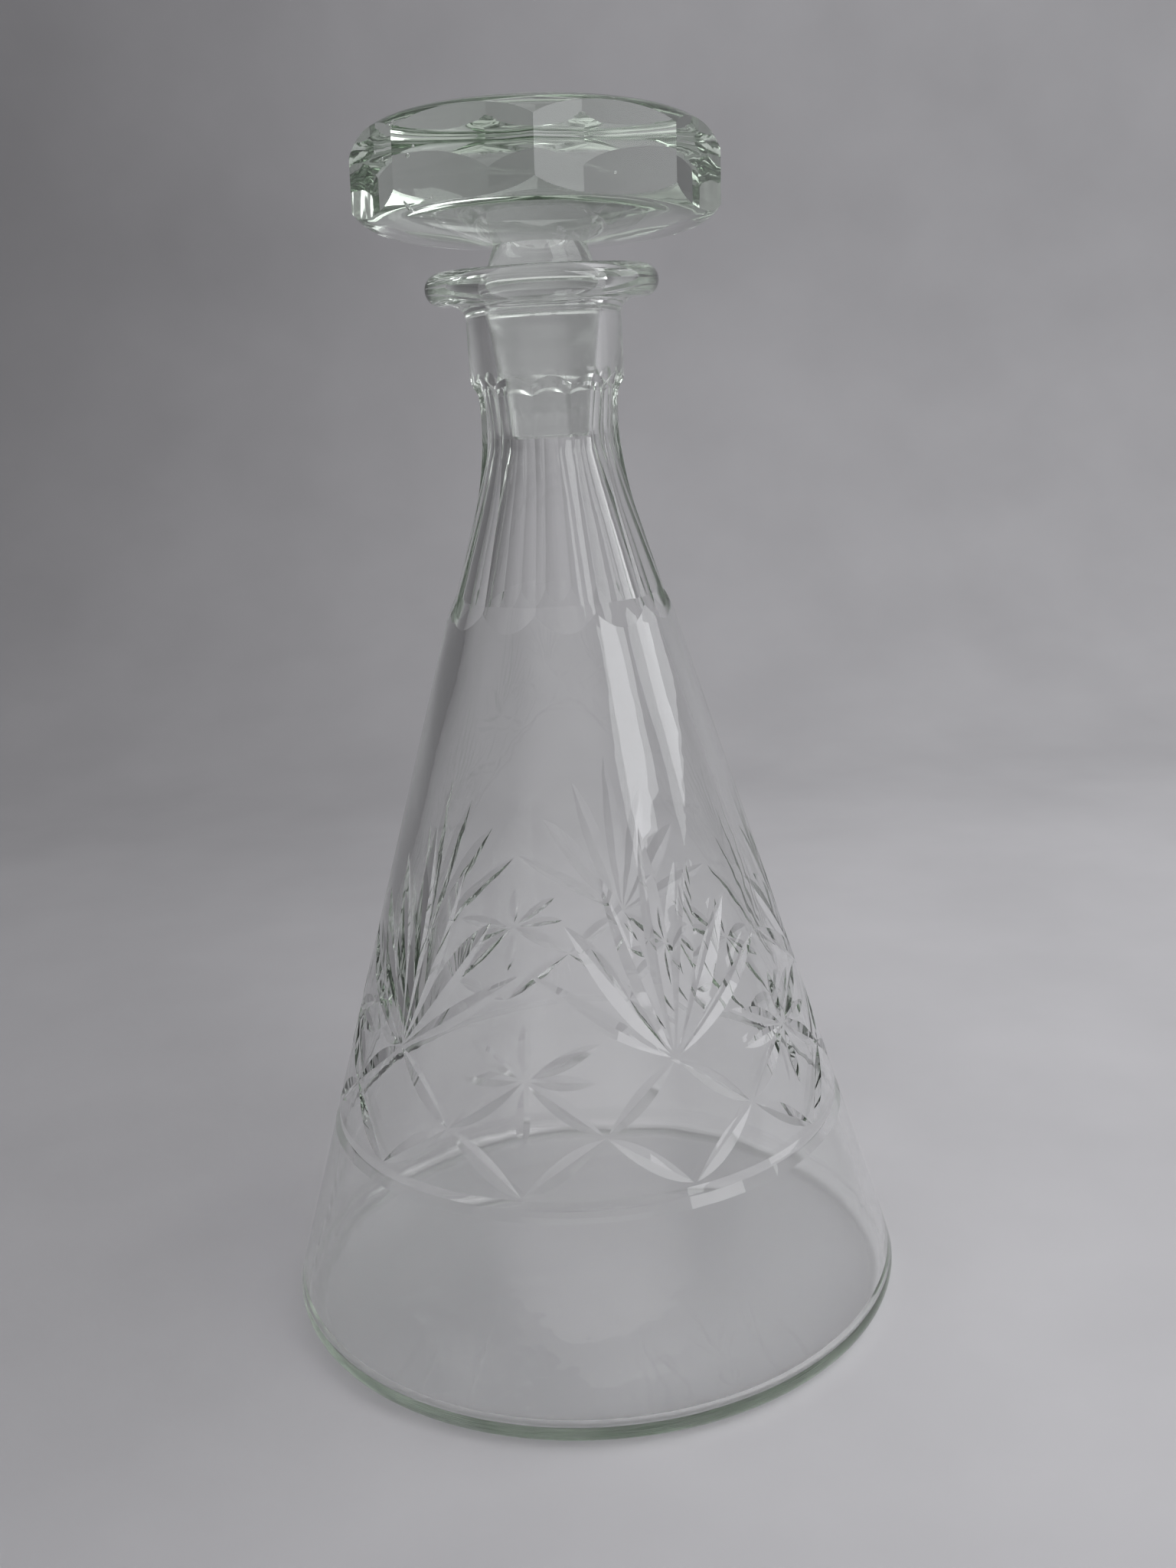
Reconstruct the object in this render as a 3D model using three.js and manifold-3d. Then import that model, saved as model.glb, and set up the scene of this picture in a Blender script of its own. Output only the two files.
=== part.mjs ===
// Conical blown glass decanter with wheel-cut ornament and a ground-in glass stopper.
// Millimetres, +Z up. The origin is the centre of the flat foot ring that it stands on.
// Azimuths are in degrees from the front (-Y), and grow towards +X.

import * as THREE from 'three';
import { mergeVertices } from 'three/addons/utils/BufferGeometryUtils.js';
import Module from 'manifold-3d';

const wasm = await Module();
wasm.setup();

// Body: a straight cone on a rounded heel
const body_radius = 72.6;
const heel_radius = 5.2;
const foot_ring_width = 11;
const push_up = 2.5;
const cone_top_height = 193;
const wall_at_heel = 2.4;
const wall_at_neck = 4.7;
const floor_thickness = 2.9;
const inner_heel_radius = 3.6;

// Neck and lip, standing on the cone's top
const neck_radius = 16.7;
const neck_length = 44.2;
const lip_radius = 25;
const lip_thickness = 6.9;
const lip_fillet = 3.2;
const mouth_radius = 13.8;
const mouth_rounding = 1.6;
const throat_rounding = 12;

// Ground joint between the stopper's plug and the neck
const plug_depth = 7.7;
const plug_length = 27.3;
const plug_top_radius = 12.3;
const plug_bottom_radius = 8.8;
const plug_bevel = 0.6;
const seat_clearance = 0.3;

// Stopper stem and eight-sided head
const stem_radius = 9.6;
const head_sides = 8;
const head_corner_radius = 38.9;
const head_blank_radius = 40.5;
const head_gap_to_lip = 4.6;
const head_top_rise = 11.15;
const head_underside_drop = 9.5;
const head_underside_tilt = 8;
const head_lean_back = 4;
const head_lean_right = 1.5;

// Twelve flutes cut down the neck with a large wheel, with heights above the cone's top
const flute_count = 12;
const flute_edge_azimuth = 17.6;
const flute_wheel_radius = 75;
const flute_waist_radius = 14.75;
const flute_waist_rise = 13.5;
const flute_top_rise = 24;
const flute_top_rounding = 6;
const flute_foot_drop = 32.7;
const flute_end_tilt = 16;

// Mitre cuts on the cone: fans and stars tied together by a net of crossed cuts
const repeats = 5;
const fan_azimuth = 21.4;
const fan_height = 75.5;
const fan_ray_angles = [-37.2, -18.6, 0, 18.6, 37.2];
const fan_ray_lengths = [39, 43.5, 50, 43.5, 39];
const fan_ray_width = 5.8;
const star_height = 73.6;
const star_ray_angles = [0, 66, 92, 180, -91, -59];
const star_ray_lengths = [12.5, 19, 15.5, 14.5, 15.5, 15.5];
const star_ray_width = 3.6;
const arch_height = 95.5;
const crossing_height = 62.2;
const net_width = 4.4;
const ray_start = 1.2;
const mitre_half_angle = 72;
const ring_height = 47.8;
const ring_width = 4.4;
const ring_depth = 0.5;
const net_to_ring = 0.4;

// How finely the round shapes are faceted
const around = 48;
const head_around = 48;
const cut_steps = 4;
const head_steps = 6;
const cutter_proud = 1;
const cutter_reach = 1.15;

const radians = THREE.MathUtils.degToRad;
const point = (r, z) => new THREE.Vector2(r, z);

// Points on an arc round (r, z), from one angle to another, in degrees
function arc(r, z, radius, from, to, steps) {
  const turn = (i) => radians(from + (to - from) * i / steps);
  return Array.from({ length: steps + 1 }, (_, i) =>
    point(r + radius * Math.cos(turn(i)), z + radius * Math.sin(turn(i))));
}

// Points on a shallow dome between the axis and a rim, with its rise in the middle
function dome(rim_radius, rim_height, rise, steps) {
  return Array.from({ length: steps }, (_, i) =>
    point(rim_radius * i / steps, rim_height + rise * (1 - (i / steps) ** 2)));
}

// A closed mesh as a solid that can be cut and joined
function solid(geometry) {
  const bare = geometry.clone();
  bare.deleteAttribute('normal');
  bare.deleteAttribute('uv');
  const merged = mergeVertices(bare, 1e-4);
  return new wasm.Manifold(new wasm.Mesh({
    numProp: 3,
    vertProperties: new Float32Array(merged.attributes.position.array),
    triVerts: new Uint32Array(merged.index.array),
  }));
}

function geometryOf(manifold) {
  const mesh = manifold.getMesh();
  const geometry = new THREE.BufferGeometry();
  geometry.setAttribute('position', new THREE.BufferAttribute(mesh.vertProperties, 3));
  geometry.setIndex(new THREE.BufferAttribute(mesh.triVerts, 1));
  geometry.computeVertexNormals();
  return geometry;
}

// A profile of points from axis to axis, spun round +Z
function spun(profile, segments) {
  return new THREE.LatheGeometry(profile, segments).rotateX(Math.PI / 2);
}

// The cone's outer line touches the heel's arc and runs to the foot of the neck
const heel_centre_radius = body_radius - heel_radius;
const reach = Math.hypot(heel_centre_radius - neck_radius, cone_top_height - heel_radius);
const cone_tilt = Math.atan2(heel_centre_radius - neck_radius, cone_top_height - heel_radius)
  + Math.asin(heel_radius / reach);
const coneRadius = (z) => neck_radius + Math.tan(cone_tilt) * (cone_top_height - z);

// The wall is thinnest at the heel, so that the inside stands at a tilt of its own
const inner_foot_radius = body_radius - wall_at_heel;
const inner_tilt = Math.atan2(
  inner_foot_radius - neck_radius + wall_at_neck / Math.cos(cone_tilt),
  cone_top_height - heel_radius,
);
const innerRadius = (z) => inner_foot_radius - Math.tan(inner_tilt) * (z - heel_radius);

// The tapered bore follows the plug at the seat's clearance
const lip_top = cone_top_height + neck_length;
const plug_top = lip_top - plug_depth;
const plug_bottom = plug_top - plug_length;
const plug_slope = (plug_top_radius - plug_bottom_radius) / plug_length;
const plug_tilt = Math.atan(plug_slope);
const boreRadius = (z) =>
  plug_bottom_radius + plug_slope * (z - plug_bottom) + seat_clearance / Math.cos(plug_tilt);

// The throat is where the bore meets the inner cone, with its edge rounded over
const throat_height = (innerRadius(0) - boreRadius(0)) / (Math.tan(inner_tilt) + plug_slope);
const throat_side = throat_rounding * Math.tan((inner_tilt + plug_tilt) / 2);
const throat_start = throat_height + throat_side * Math.cos(plug_tilt);
const throat_arc_height = throat_start - throat_rounding * Math.sin(plug_tilt);
const throat_arc_radius = boreRadius(throat_start) + throat_rounding * Math.cos(plug_tilt);

function bodyProfile() {
  const tilt = THREE.MathUtils.radToDeg(cone_tilt);
  const hollow_tilt = THREE.MathUtils.radToDeg(inner_tilt);
  const bore_tilt = THREE.MathUtils.radToDeg(plug_tilt);
  const ring_low = ring_height - ring_width / 2;
  const ring_high = ring_height + ring_width / 2;
  const lip_middle = lip_top - lip_thickness / 2;
  const fillet_height = lip_top - lip_thickness - lip_fillet;
  const inner_heel_height = floor_thickness + inner_heel_radius;
  const inner_heel_centre = innerRadius(inner_heel_height) - inner_heel_radius / Math.cos(inner_tilt);
  return [
    ...dome(heel_centre_radius - foot_ring_width, 0, push_up, 3),
    point(heel_centre_radius - foot_ring_width, 0),
    ...arc(heel_centre_radius, heel_radius, heel_radius, -90, tilt, 5),
    point(coneRadius(ring_low), ring_low),
    point(coneRadius(ring_height) - ring_depth, ring_height),
    point(coneRadius(ring_high), ring_high),
    point(neck_radius, cone_top_height),
    ...arc(neck_radius + lip_fillet, fillet_height, lip_fillet, 180, 90, 4),
    ...arc(lip_radius - lip_thickness / 2, lip_middle, lip_thickness / 2, -90, 90, 8),
    ...arc(mouth_radius + mouth_rounding, lip_top - mouth_rounding, mouth_rounding, 90, 180, 3),
    point(boreRadius(plug_top), plug_top),
    ...arc(throat_arc_radius, throat_arc_height, throat_rounding, 180 - bore_tilt, 180 + hollow_tilt, 3),
    ...arc(inner_heel_centre, inner_heel_height, inner_heel_radius, hollow_tilt, -90, 4),
    ...dome(inner_heel_centre, floor_thickness, push_up, 3).reverse(),
  ];
}

// One flute's cutter, seen from the side: out under its end facet, up along the cone and round the waist
function fluteCutter(azimuth) {
  const tilt = THREE.MathUtils.radToDeg(cone_tilt);
  const end_tilt = radians(flute_end_tilt);
  const waist_height = cone_top_height + flute_waist_rise;
  const flute_top = cone_top_height + flute_top_rise;
  const flute_foot = cone_top_height - flute_foot_drop;
  const top = flute_top - flute_top_rounding;
  const high = THREE.MathUtils.radToDeg(Math.asin((top - waist_height) / flute_wheel_radius));
  const wheel = flute_waist_radius + flute_wheel_radius;
  const bend = arc(wheel, waist_height, flute_wheel_radius, 180 + tilt, 180 - high, 6);
  const sunk = (coneRadius(bend[0].y) - bend[0].x) * Math.cos(cone_tilt);
  const facet = sunk / Math.sin(end_tilt);
  const corner_height = flute_foot + sunk / Math.tan(end_tilt) * Math.cos(cone_tilt);
  const corner = point(bend[0].x + Math.tan(cone_tilt) * (bend[0].y - corner_height), corner_height);
  const foot = point(corner.x + 2 * facet * Math.sin(cone_tilt + end_tilt),
    corner.y - 2 * facet * Math.cos(cone_tilt + end_tilt));
  const outline = [
    foot,
    corner,
    ...bend,
    ...arc(bend.at(-1).x + flute_top_rounding, top, flute_top_rounding, 180, 90, 4).slice(1),
    point(body_radius, flute_top),
    point(body_radius, foot.y),
  ];
  const width = 2 * neck_radius;
  const cutter = new THREE.ExtrudeGeometry(new THREE.Shape(outline), { depth: width, bevelEnabled: false });
  return cutter.translate(0, 0, -width / 2).rotateX(Math.PI / 2).rotateZ(radians(azimuth - 90));
}

function conePoint(azimuth, height) {
  const turn = radians(azimuth);
  const r = coneRadius(height);
  return new THREE.Vector3(r * Math.sin(turn), -r * Math.cos(turn), height);
}

function coneOutward(azimuth) {
  const turn = radians(azimuth);
  const across = Math.cos(cone_tilt);
  return new THREE.Vector3(across * Math.sin(turn), -across * Math.cos(turn), Math.sin(cone_tilt));
}

// One mitre cut from place to place: a V whose keel runs straight, under the bulge of the cone.
// Where the bulge is more than the V's depth, the keel and its sides bow out with the cone by the rest.
function mitreCutter(from, to, width) {
  const spread = Math.tan(radians(mitre_half_angle));
  const depth = width / 2 / spread;
  const place = (along) => from.map((start, k) => start + (to[k] - start) * (1 + along) / 2);
  const chord = (along) => conePoint(...from).lerp(conePoint(...to), (1 + along) / 2);
  const middle = coneOutward(place(0)[0]);
  const bulge = conePoint(...place(0)).sub(chord(0)).dot(middle);
  const bow = Math.max(bulge - depth, 0) / Math.max(bulge, depth);
  const base = (along) => chord(along).lerp(conePoint(...place(along)), bow);
  const opening = depth + cutter_proud;
  const positions = [];
  for (let i = 0; i <= cut_steps; i += 1) {
    const along = cutter_reach * (2 * i / cut_steps - 1);
    const outward = middle.clone().lerp(coneOutward(place(along)[0]), bow).normalize();
    const side = base(along + 0.01).sub(base(along - 0.01)).cross(outward).normalize();
    const keel = base(along).addScaledVector(outward, -Math.max(depth - bulge, 0) * (1 - along ** 2));
    const above = keel.clone().addScaledVector(outward, opening);
    const edge = (hand) => above.clone().addScaledVector(side, hand * opening * spread);
    positions.push(...keel, ...edge(-1), ...edge(1));
  }
  const faces = [];
  for (let i = 0; i < cut_steps; i += 1) {
    const [a, b, c, d, e, f] = [0, 1, 2, 3, 4, 5].map((k) => 3 * i + k);
    faces.push(a, b, d, b, e, d, b, c, e, c, f, e, c, a, f, a, d, f);
  }
  const last = 3 * cut_steps;
  faces.push(0, 2, 1, last, last + 1, last + 2);
  const geometry = new THREE.BufferGeometry();
  geometry.setAttribute('position', new THREE.Float32BufferAttribute(positions, 3));
  geometry.setIndex(faces);
  return geometry;
}

// The place at a distance from another, at an angle from straight up
function placeFrom(place, angle, distance) {
  const across = THREE.MathUtils.radToDeg(distance * Math.sin(radians(angle)) / coneRadius(place[1]));
  return [place[0] + across, place[1] + distance * Math.cos(radians(angle)) * Math.cos(cone_tilt)];
}

function rays(centre, angles, lengths, width) {
  return angles.map((angle, i) =>
    mitreCutter(placeFrom(centre, angle, ray_start), placeFrom(centre, angle, lengths[i]), width));
}

function patternCutters() {
  const half_repeat = 180 / repeats;
  const net_foot = ring_height + ring_width / 2 + net_to_ring;
  const cutters = [];
  for (let i = 0; i < repeats; i += 1) {
    const fan = [fan_azimuth + 2 * half_repeat * i, fan_height];
    const star = [fan[0] - half_repeat, star_height];
    cutters.push(...rays(fan, fan_ray_angles, fan_ray_lengths, fan_ray_width));
    cutters.push(...rays(star, star_ray_angles, star_ray_lengths, star_ray_width));
    for (const hand of [-1, 1]) {
      const from_fan = [fan[0] + hand * half_repeat / 2, crossing_height];
      const from_star = [star[0] + hand * half_repeat / 2, crossing_height];
      cutters.push(mitreCutter(fan, [fan[0] + hand * half_repeat, arch_height], net_width));
      cutters.push(mitreCutter(fan, from_fan, net_width));
      cutters.push(mitreCutter(from_fan, [fan[0], net_foot], net_width));
      cutters.push(mitreCutter(star, from_star, net_width));
      cutters.push(mitreCutter(from_star, [star[0], net_foot], net_width));
    }
  }
  return cutters;
}

function decanterBody() {
  let body = solid(spun(bodyProfile(), around));
  const flute_step = 360 / flute_count;
  for (let i = 0; i < flute_count; i += 1) {
    body = body.subtract(solid(fluteCutter(flute_edge_azimuth + flute_step * (i + 0.5))));
  }
  for (const cutter of patternCutters()) {
    body = body.subtract(solid(cutter));
  }
  return geometryOf(body);
}

// The head's blank: its underside is a flat cone and its top is flat.
// An arc turns into each from the widest line.
const head_tilt = radians(head_underside_tilt);
const head_turn_in = head_blank_radius - head_underside_drop * (1 - Math.sin(head_tilt));
const head_underside_edge = -head_underside_drop * Math.cos(head_tilt);
const underside = (r) => head_underside_edge - Math.tan(head_tilt) * (head_turn_in - r);

function headProfile() {
  const lower_centre = head_blank_radius - head_underside_drop;
  const upper_centre = head_blank_radius - head_top_rise;
  return [
    point(0, underside(0)),
    ...arc(lower_centre, 0, head_underside_drop, head_underside_tilt - 90, 0, head_steps),
    ...arc(upper_centre, 0, head_top_rise, 0, 90, head_steps).slice(1),
    point(0, head_top_rise),
  ];
}

function stopperHead(head_height) {
  const blank = solid(spun(headProfile(), head_around));
  const tall = 2 * (head_top_rise + head_underside_drop);
  const prism = new THREE.CylinderGeometry(head_corner_radius, head_corner_radius, tall, head_sides);
  const lean = new THREE.Matrix4()
    .makeRotationFromEuler(new THREE.Euler(-radians(head_lean_back), radians(head_lean_right), 0))
    .setPosition(0, 0, head_height);
  const facets = solid(prism.rotateX(Math.PI / 2));
  return blank.intersect(facets).transform(lean.elements);
}

function stopper() {
  const head_underside = lip_top + head_gap_to_lip;
  const head_height = head_underside - underside(stem_radius);
  const stem = new THREE.QuadraticBezierCurve(
    point(plug_top_radius, plug_top + plug_bevel),
    point(plug_top_radius, lip_top),
    point(stem_radius, head_underside + plug_bevel),
  );
  const profile = [
    point(0, plug_bottom),
    point(plug_bottom_radius - plug_bevel, plug_bottom),
    point(plug_bottom_radius + plug_slope * plug_bevel, plug_bottom + plug_bevel),
    point(plug_top_radius, plug_top),
    ...stem.getPoints(6),
    point(stem_radius, head_height),
    point(0, head_height),
  ];
  return geometryOf(solid(spun(profile, around)).add(stopperHead(head_height)));
}

const glass = { color: 0xdde6e0, roughness: 0.04, metalness: 0, transparent: true, opacity: 0.35 };

function piece(name, geometry) {
  const mesh = new THREE.Mesh(geometry, new THREE.MeshStandardMaterial(glass));
  mesh.name = name;
  return mesh;
}

const decanter = new THREE.Group();
decanter.add(piece('decanter_body', decanterBody()));
decanter.add(piece('stopper', stopper()));

export default decanter;
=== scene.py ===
"""Clear blown glass decanter with wheel-cut ornament and an eight-sided ground-in stopper, on a pale sweep.

Each piece stands for the CAD node of the same size. It is worked out as numpy grids in millimetres, with the
CAD's own sizes, cut with Boolean modifiers, and scaled to metres as it becomes a mesh.
Azimuths are in degrees from the front (-Y), and grow towards +X.
"""

import math

import bpy
import numpy as np
from mathutils import Matrix, Vector


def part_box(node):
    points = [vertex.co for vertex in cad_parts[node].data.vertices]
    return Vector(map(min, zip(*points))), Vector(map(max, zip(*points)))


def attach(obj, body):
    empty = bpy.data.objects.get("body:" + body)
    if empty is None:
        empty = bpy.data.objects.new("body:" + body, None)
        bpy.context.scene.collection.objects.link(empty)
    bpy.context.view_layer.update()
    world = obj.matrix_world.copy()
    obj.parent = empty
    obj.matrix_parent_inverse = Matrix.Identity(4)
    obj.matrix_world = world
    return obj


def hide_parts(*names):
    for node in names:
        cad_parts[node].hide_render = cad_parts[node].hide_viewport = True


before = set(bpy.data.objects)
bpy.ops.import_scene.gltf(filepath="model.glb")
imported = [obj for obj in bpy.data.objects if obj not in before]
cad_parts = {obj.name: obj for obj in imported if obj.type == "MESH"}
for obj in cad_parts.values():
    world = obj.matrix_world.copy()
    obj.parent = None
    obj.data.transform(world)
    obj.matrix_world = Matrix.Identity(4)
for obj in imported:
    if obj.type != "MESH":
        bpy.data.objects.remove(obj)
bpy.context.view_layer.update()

MM = 0.001

# Body: a straight cone on a rounded heel
BODY_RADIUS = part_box("decanter_body")[1].x / MM
HEEL_RADIUS = 5.2
FOOT_RING_WIDTH = 11
PUSH_UP = 2.5
CONE_TOP = 193
WALL_AT_HEEL = 2.4
WALL_AT_NECK = 4.7
FLOOR = 2.9
INNER_HEEL_RADIUS = 3.6

# How far the blown walls wander in and out, where along its waves each one starts, and where they fade out
OUTER_RIPPLE = 0.05
OUTER_RIPPLE_START = 0.6
INNER_RIPPLE = 0.16
INNER_RIPPLE_START = 1.9
RIPPLE_BOTTOM = 14
RIPPLE_TOP = CONE_TOP - 6
RIPPLE_FADE = 20

# The ripple's waves: share, times round, radians per millimetre up, and factor on the start
RIPPLE_WAVES = ((0.5, 2, 0.043, 1), (0.3, 5, -0.079, 2.1), (0.2, 9, 0.137, 3.7))

# Neck, lip and mouth
NECK_RADIUS = 16.7
LIP_RADIUS = 25
LIP_THICKNESS = 6.9
LIP_FILLET = 3.2
LIP_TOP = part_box("decanter_body")[1].z / MM
MOUTH_RADIUS = 13.8
MOUTH_ROUNDING = 1.6
THROAT_ROUNDING = 12

# Ground joint between the plug and the neck
PLUG_DEPTH = 7.7
PLUG_LENGTH = 27.3
PLUG_TOP = LIP_TOP - PLUG_DEPTH
PLUG_BOTTOM = PLUG_TOP - PLUG_LENGTH
PLUG_TOP_RADIUS = 12.3
PLUG_BOTTOM_RADIUS = 8.8
PLUG_BEVEL = 0.6
SEAT_CLEARANCE = 0.3

# Stopper stem and head. The head is a hair smaller than the CAD's, to stay in its box.
STEM_RADIUS = 9.6
HEAD_SIDES = 8
HEAD_CORNER_RADIUS = 38.85
HEAD_BLANK_RADIUS = 40.45
HEAD_GAP = 4.6
HEAD_RISE = 11.1
HEAD_DROP = 9.5
HEAD_TIP_RADIUS = 1
HEAD_UNDERSIDE_TILT = 8
HEAD_LEAN_BACK = 4
HEAD_LEAN_RIGHT = 1.5

# Bubbles left in the pressed head: place and radius
SEEDS = (((-22.4, -8, 258.7), 0.5), ((-20, 4, 261), 0.35),
         ((-18.6, -14, 249.9), 0.45), ((12.3, -6, 253.5), 0.3))

# Flutes cut down the neck with a large wheel. Those that share a cutting tool lie clear of each other.
FLUTE_COUNT = 12
FLUTES_PER_TOOL = 3
FLUTE_EDGE_AZIMUTH = 17.6
FLUTE_WHEEL_RADIUS = 75
FLUTE_WAIST_RADIUS = 14.75
FLUTE_WAIST = CONE_TOP + 13.5
FLUTE_TOP = CONE_TOP + 24
FLUTE_TOP_ROUNDING = 6
FLUTE_ARCH = 6
FLUTE_FOOT = CONE_TOP - 32.7
FLUTE_END_TILT = 16

# Mitre cuts on the cone. A fan and a star have an azimuth and a height, and each ray an angle and a length.
REPEATS = 5
FAN = (21.4, 75.5)
FAN_RAYS = ((-37.2, 39), (-18.6, 43.5), (0, 50), (18.6, 43.5), (37.2, 39))
FAN_RAY_WIDTH = 5.8
STAR = (-14.6, 73.6)
STAR_RAYS = ((0, 12.5), (66, 19), (92, 15.5), (180, 14.5), (-91, 15.5), (-59, 15.5))
STAR_RAY_WIDTH = 3.6
ARCH_HEIGHT = 95.5
CROSSING_HEIGHT = 62.2
NET_WIDTH = 4.4
RAY_START = 1.2
MITRE_HALF_ANGLE = 72
RING_HEIGHT = 47.8
RING_WIDTH = 4.4
RING_DEPTH = 0.5
NET_TO_RING = 0.4
CUTTER_PROUD = 1
CUTTER_REACH = 1.15

# What a face's finish attribute says about how it was made, and how near to a value counts as it
BLOWN, POLISHED_CUT, GROUND = 0.0, 0.5, 1.0
FINISH_MARGIN = 0.1

# How finely the shapes are divided: points round them, steps along their curves, and spacings in millimetres
COLUMNS = 288
SEED_COLUMNS = 24
FLUTE_COLUMNS = 17
SEED_STEPS = 12
HEEL_STEPS = 18
LIP_STEPS = 26
ROUNDING_STEPS = 10
DOME_STEPS = 10
FLUTE_STEPS = 24
HEAD_LOWER_STEPS = 24
HEAD_UPPER_STEPS = 26
STEM_STEPS = 16
CUT_STEPS = 20
WALL_SPACING = 5
TAPER_SPACING = 4
EDGE_SPACING = 3
MOUTH_SPACING = 2

# Degrees above which the turn from one face to the next makes their edge sharp
CREASE_ANGLE = 9

# Glass: how much it bends light, the colour and density of its depth, and its unevenness in metres
GLASS_IOR = 1.51
GLASS_TINT = (0.742, 0.79, 0.736, 1)
GLASS_DENSITY = 20
GLASS_UNEVENNESS = 0.00012

# Roughness: at most of the haze, of the scuffs under the foot and of the cuts, and the joint's range
HAZE_ROUGHNESS = 0.045
SCUFF_ROUGHNESS = 0.14
CUT_ROUGHNESS = 0.035
JOINT_ROUGHNESS = (0.11, 0.17)

# Camera: place in millimetres, yaw, pitch and roll in degrees, focal length over the picture's height,
# and how near and far it sees in metres
CAMERA_PLACE = (0, -358.4, 218.8)
CAMERA_TURN = (0.66, 14.90, -3.08)
CAMERA_LENGTH = 2100 / 2048
SENSOR_WIDTH = 36
CAMERA_REACH = (0.01, 50)

# Sweep of paper: half its width and reach to the front, the wall's distance and height, and the bend's radius
SWEEP_REACH = 3000
SWEEP_WALL = 750
SWEEP_TOP = 1500
SWEEP_BEND = 300
SWEEP_SPACING = 300
SWEEP_COLUMNS = 21
SWEEP_BEND_STEPS = 24
UNDER_FOOT = 0.1

# Paper tones from left to right, with painted shade: darker to the left, and darker on the backdrop than on
# the floor
FLOOR_TONES_WITH_PAINTED_SHADE = (0.30, 0.42)
WALL_TONES_WITH_PAINTED_SHADE = (0.17, 0.285)
PAPER_TINT = (1, 0.995, 1.01)

# Panes of a tall window, in metres and degrees: azimuths, elevations and brightness
PANES = {"near_pane": ((37, 70), (12, 68), 2.9), "far_pane": ((79, 112), (7.5, 55), 2.1)}
PANE_DISTANCE = 1.3
PANE_AIM = (0, 0, 0.15)
PANE_COLOUR = (0.97, 0.98, 1.0)

# The room's light from left to right, how bright its walls, ceiling and front look through and off glass,
# and which ways its right side and its front lie
ROOM_LIGHT = (0.55, 1.15)
ROOM_WALLS = (0.22, 0.38)
ROOM_CEILING = 0.6
ROOM_FRONT = 0.55
ROOM_COLOUR = (1, 0.985, 1.02, 1)
TO_THE_RIGHT = (0.85, -0.5, 0.15)
TO_THE_FRONT = (0, -1, 0.2)

# How often light may turn or bounce in the glass
BOUNCES = 40


# Shapes on grids

def arc(centre, radius, start, end, steps):
    """Points on a circle: centre + radius (cos t, sin t), with t from start to end in degrees."""
    t = np.radians(np.linspace(start, end, steps + 1))
    return np.stack([centre[0] + radius * np.cos(t), centre[1] + radius * np.sin(t)], axis=1)


def run(start, end, spacing):
    """Evenly spaced points after start and up to end, about that spacing apart."""
    start, end = np.array(start, float), np.array(end, float)
    steps = max(1, round(float(np.linalg.norm(end - start)) / spacing))
    share = np.linspace(0, 1, steps + 1)[1:, None]
    return start + share * (end - start)


def dome(rim_radius, rim_height, rise):
    """A shallow bowl's section from near the axis to its rim:
    height = rim height + rise (1 - (r / rim radius)^2)."""
    r = np.linspace(0, rim_radius, DOME_STEPS + 1)[1:]
    return np.stack([r, rim_height + rise * (1 - (r / rim_radius) ** 2)], axis=1)


def spin(section, swell=None, columns=COLUMNS):
    """Spins a section round +Z: radius r, height z and azimuth a give the point (r sin a, -r cos a, z).
    swell is what to add to r, for each point of the section and each azimuth."""
    a = np.linspace(0, 2 * np.pi, columns, endpoint=False)
    r = np.broadcast_to(section[:, :1], (len(section), columns)) + (0 if swell is None else swell(a))
    z = np.broadcast_to(section[:, 1:], r.shape)
    return np.stack([r * np.sin(a), -r * np.cos(a), z], axis=2)


def shell(rings, first_tip, last_tip):
    """Closes a grid of rings with a tip at each end. Vertex (i, j) is point j of ring i, a four-sided face
    joins (i, j), (i, j + 1), (i + 1, j + 1) and (i + 1, j), and triangles fan from each tip to its ring.
    If the volume, the sum of the faces' corner products over 6, is negative, all faces are turned over."""
    rows, columns = rings.shape[:2]
    vertices = np.concatenate([rings.reshape(-1, 3), [first_tip, last_tip]])
    index = np.arange(rows * columns).reshape(rows, columns)
    beside = np.roll(index, -1, axis=1)
    quads = np.stack([index[:-1], beside[:-1], beside[1:], index[1:]], axis=2).reshape(-1, 4)
    first_fan = np.stack([np.full(columns, rows * columns), beside[0], index[0]], axis=1)
    last_fan = np.stack([np.full(columns, rows * columns + 1), index[-1], beside[-1]], axis=1)
    fans = np.concatenate([first_fan, last_fan])
    corners = vertices[np.concatenate([quads[:, [0, 1, 2]], quads[:, [0, 2, 3]], fans])]
    volume = np.einsum("ij,ij->", corners[:, 0], np.cross(corners[:, 1], corners[:, 2])) / 6
    if volume < 0:
        quads, fans = quads[:, ::-1], fans[:, ::-1]
    return vertices, quads, fans


def turned(points, azimuth):
    """Points turned round +Z by an azimuth in degrees."""
    c, s = math.cos(math.radians(azimuth)), math.sin(math.radians(azimuth))
    return points @ np.array([[c, s, 0], [-s, c, 0], [0, 0, 1]])


def place_in_scene(name, data):
    """A new object of some data, in the scene."""
    made = bpy.data.objects.new(name, data)
    bpy.context.scene.collection.objects.link(made)
    return made


def solid(name, shells, finish):
    """A mesh object of closed shells, in metres, with the same finish on every face."""
    vertices, faces, start = [], [], 0
    for points, quads, fans in shells:
        vertices.append(points * MM)
        faces += (quads + start).tolist() + (fans + start).tolist()
        start += len(points)
    mesh = bpy.data.meshes.new(name)
    mesh.from_pydata(np.concatenate(vertices), [], faces)
    finishes = mesh.attributes.new("finish", "FLOAT", "FACE").data
    finishes.foreach_set("value", np.full(len(faces), finish, np.float32))
    return place_in_scene(name, mesh)


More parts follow.
